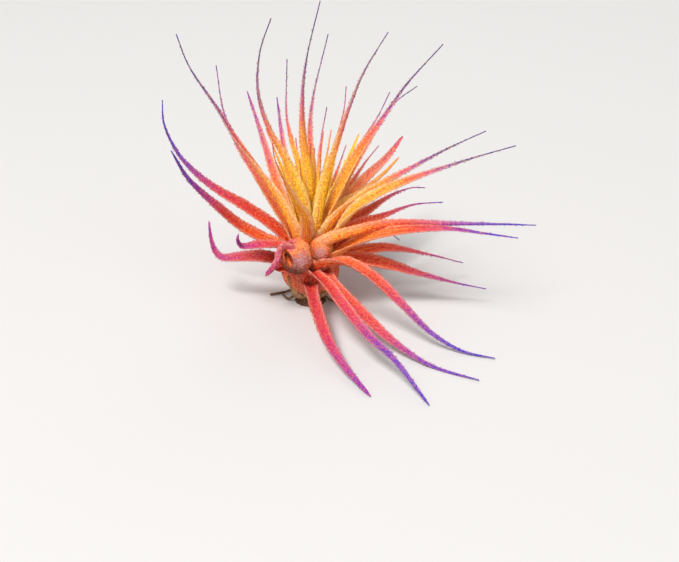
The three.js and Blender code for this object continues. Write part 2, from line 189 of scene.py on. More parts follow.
bark = bmesh.new()
turned(bark, STEM_OUTLINE, STEM_SIDES)
rising = [e for e in bark.edges if abs(e.verts[0].co.z - e.verts[1].co.z) > BARK_CUT_RISE * MM]
bmesh.ops.subdivide_edges(bark, edges=rising, cuts=BARK_CUTS)
for corner in bark.verts:
    radius = hypot(corner.co.x, corner.co.y)
    if radius < BARK_CORE * MM:
        continue
    around = atan2(corner.co.y, corner.co.x)
    rate, upward_rate = BARK_RIDGE_RATE
    spot = Vector((cos(around) * rate, sin(around) * rate, corner.co.z / MM * upward_rate))
    share = 1 + noise.fractal(spot, *BARK_OCTAVES) * BARK_RIDGES * MM / radius
    corner.co.x *= share
    corner.co.y *= share
bark_piece = finished_piece("stem_bark", bark, bark_finish("bark", BARK_FIBRE))
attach(bark_piece, "root")
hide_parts("stem")

# The roots: a few wiry holdfasts that grow from the stem above its foot, come down beside it and lie on the
# surface. They only hold the plant in place, and end blunt where they were torn off.
ROOT_DIAMETER = 0.9
ROOT_TAPER = 0.35  # of the diameter, lost by the end
ROOT_KNOBS = 0.12  # of the radius
ROOT_KNOB_RATE = 1400  # knobs to a metre
ROOT_START = (1.2, 2.6)  # the radius and the height inside the stem from which they grow
ROOT_EXIT = 2  # the height at which they come out beside the foot
ROOT_BEND = 0.45  # how much of its turn a root has made halfway out
ROOT_LIFT = 0.1  # how far it is off the surface there
ROOTS = [
    dict(around=35, reach=9, turn=40),
    dict(around=80, reach=8, turn=-40),
    dict(around=140, reach=10, turn=30),
    dict(around=200, reach=7, turn=-35),
    dict(around=330, reach=7.5, turn=30),
]
ROOT_RINGS = 40
ROOT_SIDES = 12
ROOT_FIBRE = dict(streaks=(2500, 2500, 2500), height=0.06, colours=[
    (0.25, "#3c281a"), (0.5, "#6e5038"), (0.8, "#a58a70")])


def at_angle(around, radius, height):
    """A point at an angle in degrees round the stem."""
    angle = radians(around)
    return Vector((radius * cos(angle), radius * sin(angle), height)) * MM


def between(limits, share):
    """The value at a share of the way from the first limit to the second."""
    return limits[0] + (limits[1] - limits[0]) * share


def smooth_line(points, steps=16):
    """Points along a smooth curve through a few points."""
    reached = [2 * points[0] - points[1], *points, 2 * points[-1] - points[-2]]
    line = []
    for before, start, end, after in zip(reached, reached[1:], reached[2:], reached[3:]):
        a, b, c = (sqrt((q - p).length) for p, q in ((before, start), (start, end), (end, after)))
        leave = ((start - before) / a - (end - before) / (a + b) + (end - start) / b) * b
        arrive = ((end - start) / b - (after - start) / (b + c) + (after - end) / c) * b
        line += geometry.interpolate_bezier(start, start + leave / 3, end - arrive / 3, end, steps + 1)[:-1]
    return [*line, points[-1]]


RIGHTING_REACH = 0.5  # righting is full up to 60 degrees from its way, and ends at 120


def frames_along(line, upper, shares, righting=(0, 0, 0)):
    """The line's length, and at each share of it the place, the way forward, across and up from it.

    With righting, the upper side turns further that way at each of them, unless it faces well away from it.
    """
    righting = Vector(righting)
    goal = righting.normalized()
    lengths = [0]
    for here, there in zip(line, line[1:]):
        lengths.append(lengths[-1] + (there - here).length)
    ways = [(line[min(i + 1, len(line) - 1)] - line[max(i - 1, 0)]).normalized() for i in range(len(line))]
    frames = []
    step = 0
    for share in shares:
        reach = share * lengths[-1]
        while step < len(lengths) - 2 and lengths[step + 1] < reach:
            step += 1
        part = (reach - lengths[step]) / (lengths[step + 1] - lengths[step])
        forward = ways[step].lerp(ways[step + 1], part).normalized()
        upper = (upper - forward * upper.dot(forward)).normalized()
        upper = upper + righting * min(1, max(0, upper.dot(goal) + RIGHTING_REACH))
        upper = (upper - forward * upper.dot(forward)).normalized()
        frames.append((line[step].lerp(line[step + 1], part), forward, forward.cross(upper), upper))
    return lengths[-1], frames


def rod_blank(rings, sides):
    """A straight rod along Z with evenly spaced rings of corners, ready to be bent."""
    rod = bmesh.new()
    bmesh.ops.create_cone(rod, cap_ends=True, segments=sides, radius1=1, radius2=1, depth=1)
    long_edges = [e for e in rod.edges if abs(e.verts[0].co.z - e.verts[1].co.z) > 0.5]
    bmesh.ops.subdivide_edges(rod, edges=long_edges, cuts=rings - 1)
    mesh = bpy.data.meshes.new("rod_blank")
    rod.to_mesh(mesh)
    rod.free()
    return mesh


def rod_corners(shape, blank, rings):
    """Adds a rod to a shape, and gives each of its corners with its ring and its angle round the rod."""
    first = len(shape.verts)
    shape.from_mesh(blank)
    shape.verts.ensure_lookup_table()
    for corner in shape.verts[first:]:
        yield corner, round((corner.co.z + 0.5) * rings), atan2(corner.co.y, corner.co.x)


root_blank = rod_blank(ROOT_RINGS, ROOT_SIDES)
root_shares = [ring / ROOT_RINGS for ring in range(ROOT_RINGS + 1)]
roots = bmesh.new()
for root in ROOTS:
    rest = ROOT_DIAMETER / 2
    foot_radius = STEM_OUTLINE[1][0]
    start = root["around"]
    halfway = between((foot_radius, root["reach"]), 0.5)
    line = smooth_line([
        at_angle(start, *ROOT_START),
        at_angle(start, foot_radius, ROOT_EXIT),
        at_angle(start + root["turn"] * ROOT_BEND, halfway, rest + ROOT_LIFT),
        at_angle(start + root["turn"], root["reach"], rest),
    ])
    _, root_frames = frames_along(line, Vector((0, 0, 1)), root_shares)
    for corner, ring, angle in rod_corners(roots, root_blank, ROOT_RINGS):
        centre, _, across, upper = root_frames[ring]
        radius = rest * MM * (1 - ROOT_TAPER * ring / ROOT_RINGS)
        side = across * cos(angle) + upper * sin(angle)
        knob = noise.noise((centre + side * radius) * ROOT_KNOB_RATE)
        corner.co = centre + side * (radius * (1 - ROOT_KNOBS + ROOT_KNOBS * knob))
        corner.co.z = max(corner.co.z, 0)
roots_piece = finished_piece("holdfast_roots", roots, bark_finish("root_skin", ROOT_FIBRE))
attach(roots_piece, "root")
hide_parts("stem")

# The dry sheaths: the brown papery bases of leaves that have died, which still wrap the stem and the bottom
# of the bulb. They are split and curled where they dried.
LEAF_RINGS = 52
LEAF_SIDES = 18
RING_SPREAD = 1.2  # above 1 the rings are closer together near the base, where the sheath is
SHEATH = (0.8, 0.22)  # how much wider it is than the blade, and the share of the leaf's length where it ends
SHEATH_CURVE = 1.5
BASE_THICKNESS = 0.9
TIP_THICKNESS = 0.3
THICKEST = 0.6  # as a share of the leaf's width
THREAD_WIDTH = 0.26  # of the tip
TAPER = 0.54  # where a blade has narrowed by half, as a share of the leaf's length
TAPER_POWER = 4.5
TIP_ROUNDING = 30  # the higher, the blunter a tip
CHANNEL_DEPTH = 0.3  # of the hollow upper face at the base, as a share of the width
CHANNEL_FADE = 0.4
CHANNEL_ROUNDNESS = 1.3
RIGHTING = (0, 0, 0.09)  # which way and how fast a blade turns its hollow face, from one ring to the next
FACING = (0, -0.08, 0.08)  # the same, for the leaves that the view shows
TWIST = radians(22)  # of the blade by its tip, either way
TWIST_RATE = (1.5, 5.3)  # how fast it changes along a leaf, and from one leaf to the next
TWIST_LAYER = 8  # of the noise
MARGIN_WAVE = 0.07  # of the width
MARGIN_WAVE_RATE = (9, 3.7)  # the same for the wave
SCURF = (0.2, 0.2)  # how thick the pale scales lie underneath, and the share of the length where they end
SCURF_FADE = 0.6  # the lower, the more suddenly they end
SCURF_ABOVE = 0.15  # how thick they lie on the upper face, as a share of that
EDGE_END = 0.9  # where the pale line along the margins ends; it is partly their fringe of scales, partly a painted highlight
EDGE_FADE = 0.5
EDGE_SHARPNESS = 4.5  # the higher, the narrower it is
RIPENING = 1.7  # above 1 the colour turns most quickly in the middle of the leaf
UNDERSIDE_RIPER = 0.05
# Painted shade in the crease of the channel: a riper, darker line down the middle of the upper face.
GROOVE_PAINTED_SHADE = 0.06
GROOVE_SHARPNESS = 12
# Painted light: riper towards the margins, so the middle of the upper face looks lit and the thin margins
# pinker where light shines through.
MARGIN_PAINTED_LIGHT = 0.1
MARGIN_SHARPNESS = 6
DRY_SHEATHS = [
    dict(count=7, turn=12, width=3.6, ripe=(0, 0, 0), midrib=[
        (2.3, 2.2), (3.8, 2.9), (5.2, 4.5), (6.1, 6.6), (6.4, 8.2)]),
    dict(count=6, turn=40, width=3.2, ripe=(0, 0, 0), midrib=[
        (2, 1.6), (3.4, 2), (4.7, 3.2), (5.6, 4.9), (6.2, 6)]),
]
SHEATH_TAPER = 0.8
FOLD_DEPTH = 0.22  # of the crumpling
FOLD_RATE = 900  # folds to a metre
FOLD_LAYERS = 50  # how far apart in the noise the folds along each axis are
DRY_FIBRE = dict(streaks=(1400, 1400, 300), height=0.08, colours=[
    (0.2, "#4a2e1c"), (0.42, "#8a5f3e"), (0.6, "#b78f68"), (0.8, "#d9c19c")])

RING_SHARES = [(ring / LEAF_RINGS) ** RING_SPREAD for ring in range(LEAF_RINGS + 1)]
leaf_blank = rod_blank(LEAF_RINGS, LEAF_SIDES)


class Leaf:
    """One leaf: its midrib, and the skin round it, which is hollow above and rounded underneath."""

    def __init__(self, midrib, width, ripe, number, sheath=SHEATH, taper=TAPER, scurf=SCURF,
                 righting=RIGHTING):
        self.width = width * MM
        self.ripe = ripe
        self.sheath = sheath
        self.taper = taper
        self.scurf = scurf
        self.number = number
        out = Vector((midrib[1].x, midrib[1].y, 0)).normalized()
        self.length, self.frames = frames_along(
            smooth_line(midrib), Vector((0, 0, 1)) - out, RING_SHARES, righting)

    def span(self, along):
        """How wide the leaf is from margin to margin."""
        widening, end = self.sheath
        sheath = widening * max(0, 1 - along / end) ** SHEATH_CURVE
        blade = 1 / (1 + (along / self.taper) ** TAPER_POWER)
        spot = Vector((along * MARGIN_WAVE_RATE[0], self.number * MARGIN_WAVE_RATE[1], 0))
        wave = 1 + MARGIN_WAVE * noise.noise(spot)
        tip = sqrt(1 - along ** TIP_ROUNDING)
        return max(THREAD_WIDTH * MM, self.width * wave * tip * (blade + sheath))

    def place(self, ring, angle):
        """A corner of the skin, at a ring and an angle round the blade: 0 to pi is its upper face."""
        centre, _, across, upper = self.frames[ring]
        along = RING_SHARES[ring]
        span = self.span(along)
        thick = min(between((BASE_THICKNESS, TIP_THICKNESS), along) * MM, THICKEST * span)
        side = cos(angle)
        hollow = CHANNEL_DEPTH * span * (1 - CHANNEL_FADE * along) * abs(side) ** CHANNEL_ROUNDNESS
        lift = hollow + thick * min(0, sin(angle))
        spot = Vector((along * TWIST_RATE[0], self.number * TWIST_RATE[1], TWIST_LAYER))
        twist = TWIST * along * noise.noise(spot)
        return (centre + across * (span / 2 * side * cos(twist) - lift * sin(twist))
                + upper * (span / 2 * side * sin(twist) + lift * cos(twist)))

    def ripeness(self, ring, angle):
        """How ripe the skin is: more underneath, in the groove as painted shade, and at the margins as
        painted light.
        """
        along = RING_SHARES[ring]
        base, middle, tip = self.ripe
        if along < 0.5:
            ripe = between((base, middle), (along * 2) ** RIPENING)
        else:
            ripe = between((tip, middle), (2 - along * 2) ** RIPENING)
        # Painted shade in the groove, and painted light at the margins.
        groove_shade = GROOVE_PAINTED_SHADE * max(0, sin(angle)) ** GROOVE_SHARPNESS
        margin_light = MARGIN_PAINTED_LIGHT * abs(cos(angle)) ** MARGIN_SHARPNESS
        return ripe + groove_shade + margin_light - UNDERSIDE_RIPER * min(0, sin(angle))

    def scurfing(self, ring, angle):
        """How thick the pale scales lie, from 0 to 1: most under the sheath."""
        amount, end = self.scurf
        left = max(0, 1 - RING_SHARES[ring] / end) ** SCURF_FADE
        return amount * left * max(SCURF_ABOVE, -sin(angle))

    def edging(self, ring, angle):
        """How pale the margin is, from 0 to 1: partly its fringe of scales, partly a painted highlight."""
        left = max(0, 1 - RING_SHARES[ring] / EDGE_END) ** EDGE_FADE
        return left * abs(cos(angle)) ** EDGE_SHARPNESS


def sheaths_round(rule, number, scurf=SCURF):
    """Short sheaths that stand evenly round the stem."""
    for i in range(rule["count"]):
        around = rule.get("turn", 0) + i * 360 / rule["count"]
        midrib = [at_angle(around, radius, height) for radius, height in rule["midrib"]]
        yield Leaf(midrib, rule["width"], rule["ripe"], number + i, taper=SHEATH_TAPER, scurf=scurf)


husks = bmesh.new()
for husk_whorl in DRY_SHEATHS:
    for husk in sheaths_round(husk_whorl, husk_whorl["turn"]):
        for corner, ring, angle in rod_corners(husks, leaf_blank, LEAF_RINGS):
            corner.co = husk.place(ring, angle)
            spot = corner.co * FOLD_RATE
            folds = [noise.noise(spot + Vector((0, 0, FOLD_LAYERS * axis))) for axis in range(3)]
            corner.co += Vector(folds) * (FOLD_DEPTH * MM)
husks_piece = finished_piece("dry_sheaths", husks, bark_finish("dry_sheath", DRY_FIBRE))
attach(husks_piece, "root")
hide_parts("stem")

# The outer leaves: the lowest and oldest whorl, red at the base and indigo at the tips. They arch out and
# down to the surface from a collar of wide clasping sheaths round the bulb. Each leaf is a succulent blade,
# hollow on its upper side, that runs out into a thread.
TIP_HEIGHT = 0.45  # of the middle of a tip that rests on the surface
DEPTH_EASE = 1.2  # above 1 a leaf keeps its base's depth for longer
SURFACE_EASE = 0.75  # the same, for a leaf that rests on the surface
SHEATH_RISE = 4.5  # from a leaf's root in the collar to its first visible point
GOLDEN_RATIO = 0.618
DROOP_STEPS = 5
LENGTH_SPREAD = (0.85, 1.1)
RISE_SPREAD = (-5, 5)
RIPE_SPREAD = 0.07
BACK_NUMBERS = 50  # the leaves behind are numbered from here: by its number each leaf waves in its own way
SHEATH_NUMBERS = 80
BULB_SCURF = (0.4, 1.2)
COLLAR_SIDES = 48
COLLAR_SCURF = 0.6

# Each leaf has its blade's width, its depth at the base and the tip, which is how far they lie behind the
# stem's axis, its ripeness at the base, the middle and the tip, from 0 at the heart's colour to 1 at the
# tip's, and its midrib as the view shows it: (right, up) from the heart, base first. A leaf without a tip
# depth rests its tip on the surface.
OUTER_LEAVES = [
    dict(width=2.8, depth=(2.5, 6), ripe=(0.14, 0.42, 0.92), taper=0.62, midrib=[
        (-5.8, 4), (-15.2, 11.4), (-22.1, 15.5), (-26.7, 19), (-31.2, 23.8), (-34.8, 31.2), (-35.2, 36.9)]),
    dict(width=3.3, depth=(-3, -14), ripe=(0, 0.28, 0.84), taper=0.68, midrib=[
        (-5.8, 1.4), (-10.7, 3.5), (-14, 5.2), (-17.5, 7.4), (-21.4, 10.8), (-29, 18.1), (-33.1, 24.8)]),
    dict(width=3, depth=(4, 34), ripe=(0.08, 0.24, 0.7), midrib=[
        (5.4, 5), (12.9, 10), (19.5, 14.3), (24.3, 16), (27.4, 16)]),
    dict(width=2.8, depth=(3, 22), ripe=(0.08, 0.3, 0.75), midrib=[
        (6, 4), (10.7, 7.1), (17.1, 9.2), (24.3, 11.9), (31.7, 12.6)]),
    dict(width=3, depth=(-7, -6), ripe=(-0.2, 0.24, 0.96), taper=0.62, sheath=(1.1, 0.3),
         scurf=(2.4, 0.24), midrib=[
        (1.6, -2), (2.2, 0.6), (3.6, 2.8), (6.5, 4.2), (11, 5.5), (15.5, 6.7), (21.4, 7.3), (41.7, 7.4),
        (53.8, 7.1)]),
    dict(width=3.2, depth=(-5.5, -15), ripe=(-0.12, 0.18, 0.86), taper=0.6, midrib=[
        (5, -0.8), (8.3, 1.5), (11, 3), (15, 4.5), (21.4, 5.8), (32.1, 6.3), (41.7, 5.1), (49.5, 4)]),
    dict(width=2.9, depth=(-1, 10), ripe=(0.04, 0.3, 0.66), midrib=[
        (6.4, -0.6), (10.7, 0.5), (17.9, 1.7), (27.9, 0.2), (36.4, -1.9)]),
    dict(width=4, depth=(-4.5, -3), ripe=(0.06, 0.34, 0.72), midrib=[
        (5.6, -2.2), (8.6, -1.3), (11.6, -1.2), (15.5, -1.8), (20, -2.8), (24.4, -4), (34.5, -6.6),
        (41.9, -8.1)]),
    dict(width=3.1, depth=(-6.5,), ripe=(0, 0.42, 0.96), taper=0.64, midrib=[
        (1.2, -2.9), (7.9, -1.6), (14.5, -5), (21.2, -11.2), (28.8, -18.6), (36.2, -22.9), (44, -24.6)]),
    dict(width=3, depth=(-6,), ripe=(0.2, 0.42, 0.84), taper=0.64, midrib=[
        (2.6, -4.6), (6.2, -8.1), (12.9, -14.5), (19.5, -20.5), (28.8, -26.4), (40.2, -29.8)]),
    dict(width=2.8, depth=(-6.5,), ripe=(0.24, 0.48, 0.86), taper=0.74, midrib=[
        (-0.3, -4.2), (3.4, -6.4), (8.6, -12.9), (13.6, -19), (20.2, -25.2), (28.3, -35.7)]),
    # Painted shade: this leaf's base is riper, a darker crimson, for the shade it hangs in low at the front.
    dict(width=2.7, depth=(-5.5,), ripe=(0.34, 0.42, 0.66), taper=0.84, midrib=[
        (0, -7), (0.9, -11), (4.3, -20.5), (8.6, -27.1), (14.3, -33.6)]),
    dict(width=4, depth=(-4, 4), ripe=(0.26, 0.42, 0.62), taper=0.66, midrib=[
        (-5, -1.4), (-8.6, -1.2), (-12.5, -0.6), (-18.5, -0.7), (-20.8, -0.7), (-22.5, 0.7), (-23.6, 4),
        (-24.1, 8.1)]),
    dict(width=3.7, depth=(-5.5, -10), ripe=(0.2, 0.26, 0.62), taper=0.8, scurf=(0.3, 0.6), midrib=[
        (-3.4, 2), (-6.4, 2.2), (-9.6, 2.3), (-12.5, 2.3), (-14.9, 2), (-16.4, 2), (-17.3, 3.3),
        (-17.1, 4.8)]),
    dict(width=2.6, depth=(-7.5, -10), ripe=(0.38, 0.36, 0.54), taper=1.4, scurf=(0.3, 1.4),
         righting=(0, 0, 0), midrib=[
        (-4.6, 1.6), (-6.3, 2), (-7, 0.8), (-7.3, -0.8), (-8.1, -2.5), (-9.5, -4.1), (-10.6, -5)]),
    dict(width=5, depth=(-5, -8), ripe=(0.2, 0.24, 0.26), taper=0.9, midrib=[
        (-2.6, -3.8), (-5, -3), (-8.6, -3.2)]),
]
OUTER_BACK = dict(seed=8, count=8, arc=(48, 118), rise=(44, 20), length=(35, 41), droop=(26, 44), width=3,
                  ripe=(0.18, 0.42, 0.8))
OUTER_SHEATHS = dict(count=14, width=3.4, ripe=(0.06, 0.14, 0.3), midrib=[
    (4, 4.4), (6, 6.6), (6.3, 9.4), (5.7, 12.6)])
OUTER_ROOT = dict(radius=4, height=(5.2, 7.4), sheath=SHEATH)
OUTER_COLLAR = dict(ripe=0.2, outline=[
    (2.7, 4), (4.6, 3.8), (6, 6.2), (6.2, 8.6), (5.8, 10.4), (5.4, 8.2), (2.2, 8.2)])

# A look is what differs between the leaf finishes: the colours from base to tip, the dust of scales, and the
# pale rim of the margins, which is partly a painted highlight.
OUTER_LOOK = dict(dust="#ffb48e", stipple=0.16, opacity=0.32, grain=1, edge=0.75, rim="#ffd0bc", colours=[
    (0, "#ffa828"), (0.1, "#f77e1c"), (0.22, "#e64a18"), (0.36, "#d4302e"), (0.5, "#cc3464"),
    (0.66, "#a43492"), (0.82, "#6434ac"), (1, "#3c36b0")])
LEAF_SKIN = {"Roughness": 0.6, "Specular IOR Level": 0.2, "Sheen Weight": 0.05, "Sheen Roughness": 0.45,
             "Subsurface Weight": 0.15, "Subsurface Radius": (1, 0.45, 0.2), "Subsurface Scale": 0.7 * MM}
STREAK = 0.42  # how much riper or less ripe the skin is from one vein to the next
STREAK_STRETCH = (3.2, 0.08, 1)  # how fine they are over half a leaf's width, and a millimetre of its length
STREAK_SCALE = 1.6
STREAK_DETAIL = 3
MEAN_SHIFT = 0.05  # how much less ripe the streaks make the skin in all
CALM_FROM = (0.35, 0.75)  # the ripeness over which the streaks and the grain fade
CALM_TIP = 0.2  # what is left of them
GRAIN_SIZE = (5.5, 1.7, 1)  # grains to half a leaf's width, and to a millimetre of its length
GRAIN_GAP = 10  # in the noise, from one leaf to the next
GRAIN_EDGE = (0.45, 0.57)  # the values of the noise at which a grain starts and is full
GRAIN_TINT = "#e09068"  # what it makes of the colour between the scales
STIPPLE_SCALE = 1800  # dots to a metre, one for each scale too small to model
STIPPLE_DOT = (0.6, 0.15)  # where a dot ends and where it is full, as a share of the step between dots
STIPPLE_RELIEF = 0.1
SPECKLE = 0.07  # how much riper the skin is between its scales, and less ripe on them
SCURF_COLOUR = "#b28a90"
SCURF_DOTS = 0.74  # how much more the dots cover where the scales lie thickest
SCURF_VEIL = 0.28  # how much the scales cover there between the dots
SCALES_PER_MM2 = 5.5
MARGIN_FRINGE = 4  # how many times more scales the margins have
FRINGE_SHARPNESS = 8
BARE_TIP = 4  # the higher, the nearer the tip the scales reach


def seen(right, up, behind):
    """The point that the view shows right and up of the heart, at a depth behind the stem's axis."""
    sight = in_view(right, up) - eye
    return eye + sight * ((behind * MM - eye.y) / sight.y)


def on_surface(right, up):
    """The point that the view shows right and up of the heart, a tip's height above the surface."""
    sight = in_view(right, up) - eye
    return eye + sight * ((TIP_HEIGHT * MM - eye.z) / sight.z)


def measured_midrib(leaf, root):
    """The points of a visible leaf's midrib, from its root in the collar."""
    flat = [Vector(point) for point in leaf["midrib"]]
    along = [0]
    for here, there in zip(flat, flat[1:]):
        along.append(along[-1] + (there - here).length)
    rests = len(leaf["depth"]) == 1
    base = leaf["depth"][0]
    deepest = on_surface(*flat[-1]).y / MM if rests else leaf["depth"][1]
    points = []
    for place, length in zip(flat, along):
        share = (length / along[-1]) ** (SURFACE_EASE if rests else DEPTH_EASE)
        point = seen(*place, between((base, deepest), share))
        points.append(on_surface(*place) if point.z < TIP_HEIGHT * MM else point)
    start = Vector((points[0].x, points[0].y, 0)).normalized() * (root["radius"] * MM)
    low, high = root["height"]
    start.z = min(max(points[0].z - SHEATH_RISE * MM, low * MM), high * MM)
    return [start, *points]


def seeded_numbers(state):
    """A fixed sequence of numbers between 0 and 1, the same that places the leaves of the solids."""
    factor, limit = 16807, 2147483647
    while True:
        state = state * factor % limit
        yield state / limit


def radial_midrib(around, length, rise, droop, root):
    """The points of a leaf that leaves the collar at an angle round the stem and droops to its tip."""
    points = []
    radius = root["radius"]
    height = root["height"][1]
    for step in range(DROOP_STEPS + 1):
        points.append(at_angle(around, radius, max(height, TIP_HEIGHT)))
        slope = radians(rise - 2 * droop * step / DROOP_STEPS)
        radius += length / DROOP_STEPS * cos(slope)
        height += length / DROOP_STEPS * sin(slope)
    return points


def back_leaves(rule, root):
    """Leaves spread over an arc behind the stem by the golden ratio, for the side that the view hides."""
    numbers = seeded_numbers(rule["seed"])
    dice = random.Random(rule["seed"])
    for i in range(rule["count"]):
        share = i / (rule["count"] - 1)
        around = between(rule["arc"], (i + rule["seed"]) * GOLDEN_RATIO % 1)
        length = between(rule["length"], share) * between(LENGTH_SPREAD, next(numbers))
        rise = between(rule["rise"], share) + between(RISE_SPREAD, next(numbers))
        midrib = radial_midrib(around, length, rise, between(rule["droop"], share), root)
        shift = dice.uniform(-RIPE_SPREAD, RIPE_SPREAD)
        ripe = [stage + shift for stage in rule["ripe"]]
        yield Leaf(midrib, rule["width"], ripe, BACK_NUMBERS + i)


def whorl_leaves(rows, root, back, sheaths):
    """All the leaves of a whorl: the visible ones, those behind, and the short sheaths on the bulb."""
    measured = []
    for number, row in enumerate(rows):
        shape = {"righting": FACING, "sheath": root["sheath"], **row, "midrib": measured_midrib(row, root)}
        del shape["depth"]
        measured.append(Leaf(number=number, **shape))
    return [*measured, *back_leaves(back, root), *sheaths_round(sheaths, SHEATH_NUMBERS, BULB_SCURF)]


def skin_layers(shape):
    """The layers of a shape's corners that its finish and its scales read, by name."""
    layers = shape.verts.layers
    amounts = {name: layers.float.new(name) for name in ("ripeness", "scurf", "edge", "cover")}
    ways = {name: layers.float_vector.new(name) for name in ("grain", "lie")}
    return {**amounts, **ways}


def dress(corner, layers, **skin):
    """Writes what a corner's skin is like into its layers."""
    for name, value in skin.items():
        corner[layers[name]] = value


def blades_piece(name, leaves, collar, finish):
    """A whorl of leaves in its collar of sheath bases."""
    whorl = bmesh.new()
    layers = skin_layers(whorl)
    for leaf in leaves:
        for corner, ring, angle in rod_corners(whorl, leaf_blank, LEAF_RINGS):
            corner.co = leaf.place(ring, angle)
            corner.co.z = max(corner.co.z, 0)
            clad = 1 - RING_SHARES[ring] ** BARE_TIP
            fringe = 1 + MARGIN_FRINGE * cos(angle) ** FRINGE_SHARPNESS
            dress(corner, layers, ripeness=leaf.ripeness(ring, angle), scurf=leaf.scurfing(ring, angle),
                  edge=leaf.edging(ring, angle), cover=SCALES_PER_MM2 * clad * fringe / MM ** 2,
                  grain=(cos(angle), RING_SHARES[ring] * leaf.length / MM, leaf.number * GRAIN_GAP),
                  lie=leaf.frames[ring][1])
    blades_end = len(whorl.verts)
    turned(whorl, collar["outline"], COLLAR_SIDES)
    whorl.verts.ensure_lookup_table()
    for corner in whorl.verts[blades_end:]:
        dress(corner, layers, ripeness=collar["ripe"], scurf=COLLAR_SCURF)
    return finished_piece(name, whorl, finish)


def attribute(tree, name, output="Fac"):
    """What a layer of the piece says at each place."""
    return new_node(tree, "ShaderNodeAttribute", {}, attribute_name=name).outputs[output]


def ranged(tree, value, before=(0, 1), after=(0, 1)):
    """A value, carried over from the range before to the range after."""
    limits = zip(("From Min", "From Max", "To Min", "To Max"), (*before, *after))
    return new_node(tree, "ShaderNodeMapRange", {"Value": value, **dict(limits)}).outputs["Result"]


def worked_out(tree, operation, *values, **settings):
    """The result of a sum or a product."""
    node = new_node(tree, "ShaderNodeMath", dict(enumerate(values)), operation=operation, **settings)
    return node.outputs["Value"]


def mixed(tree, share, first, second, blend="MIX"):
    """The first colour with a share of the second in it."""
    inputs = {"Factor": share, "A": first, "B": second}
    return new_node(tree, "ShaderNodeMix", inputs, data_type="RGBA", blend_type=blend).outputs["Result"]


def leaf_finish(name, look):
    """Matt leaf skin: its colour follows its ripeness, in streaks, under a stipple of tiny pale scales."""
    finish, tree, skin = new_finish(name, LEAF_SKIN)
    ripeness = attribute(tree, "ripeness")
    grain = attribute(tree, "grain", "Vector")
    scurf = attribute(tree, "scurf")
    calm = ranged(tree, ripeness, CALM_FROM, (1, CALM_TIP))

    veins = stretched_noise(tree, grain, STREAK_STRETCH, STREAK_DETAIL, STREAK_SCALE)
    riper = ranged(tree, veins, after=(-STREAK - MEAN_SHIFT, STREAK - MEAN_SHIFT))
    streaked = worked_out(tree, "MULTIPLY_ADD", riper, calm, ripeness)
    place = new_node(tree, "ShaderNodeTexCoord", {}).outputs["Object"]
    stipple = new_node(tree, "ShaderNodeTexVoronoi", {"Vector": place, "Scale": STIPPLE_SCALE})
    dots = ranged(tree, stipple.outputs["Distance"], STIPPLE_DOT)
    speckled = worked_out(tree, "ADD", streaked, ranged(tree, dots, after=(SPECKLE, -SPECKLE)))

    grains = stretched_noise(tree, grain, GRAIN_SIZE)
    grit = worked_out(tree, "MULTIPLY", ranged(tree, grains, GRAIN_EDGE, (0, look["grain"])), calm)
    gritty = mixed(tree, grit, colour_ramp(tree, look["colours"], speckled), shade(GRAIN_TINT), "MULTIPLY")

    crowding = worked_out(tree, "MULTIPLY_ADD", scurf, SCURF_DOTS, look["stipple"])
    veil = worked_out(tree, "MULTIPLY", scurf, SCURF_VEIL)
    dusting = worked_out(tree, "MULTIPLY_ADD", dots, crowding, veil, use_clamp=True)
    pale = mixed(tree, scurf, shade(look["dust"]), shade(SCURF_COLOUR))
    # The pale rim of the margins: partly their fringe of scales, partly a painted highlight where light
    # shines through the thin margin.
    edge = worked_out(tree, "MULTIPLY", attribute(tree, "edge"), look["edge"])
    edged = mixed(tree, edge, mixed(tree, dusting, gritty, pale), shade(look["rim"]))
    feed(skin, {"Base Color": edged, "Normal": raised_by(tree, dots, STIPPLE_RELIEF)})
    return finish


outer_whorl = whorl_leaves(OUTER_LEAVES, OUTER_ROOT, OUTER_BACK, OUTER_SHEATHS)
outer_skin = leaf_finish("outer_leaf", OUTER_LOOK)
outer_blades = blades_piece("outer_leaf_blades", outer_whorl, OUTER_COLLAR, outer_skin)
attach(outer_blades, "root")
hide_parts("outer_leaves")

# The knobs: the swollen bases of two outer leaves at the front. The left one has dried short and curled over
# on itself, with its rim rolled round a small hollow, which is painted dark inside as painted shade. The
# right one bulges out below its blade. Both are painted darker towards the bottom, as painted shade. Scales
# lie so thickly on both that they look grey.
KNOB = dict(place=(-3.1, -0.2, -7), reach=(3.8, 3.2, 3.9))  # right, up and behind as seen; then its radii
HUMP = dict(place=(2.5, 1.6, -6.6), reach=(2.4, 2.3, 2.9))
KNOB_RINGS = 48
KNOB_SIDES = 96
KNOB_LUMPS = 0.25
KNOB_LUMP_RATE = 1.6

# Places and widths on the knob and the hump are shares of the radius to the side and up.
HOLLOW = (-0.5, 0.12)
HOLLOW_SIZE = (0.19, 0.4)  # half its width and half its height
HOLLOW_LEAN = radians(22)
HOLLOW_DEPTH = 2.2
HOLLOW_STEEPNESS = 4
HOLLOW_EDGE = 1.6  # the higher, the sharper its colour ends
HOLLOW_PAINTED_SHADE = (0.36, -1.2, -1.3)  # painted shade: its colour in the middle, and how that darkens across it and up along it, under the rolled rim
RIM_HEIGHT = 0.4
RIM_PLACE = (1.5, 0.45)  # how far out its crest is and how wide, in sizes of the hollow
ROLL = (-0.5, 0.8)  # the middle of the rosy part of the rim
ROLL_WIDTH = 0.5
ROLL_SHADE = 0.96
ROLL_BARE = 0.8  # how much of its scales are gone
SEAM = (0.74, 0.07)  # where the ball inside meets the rolled rim, and how wide the seam is
SEAM_DEPTH = 0.4
SEAM_SHARPNESS = 6
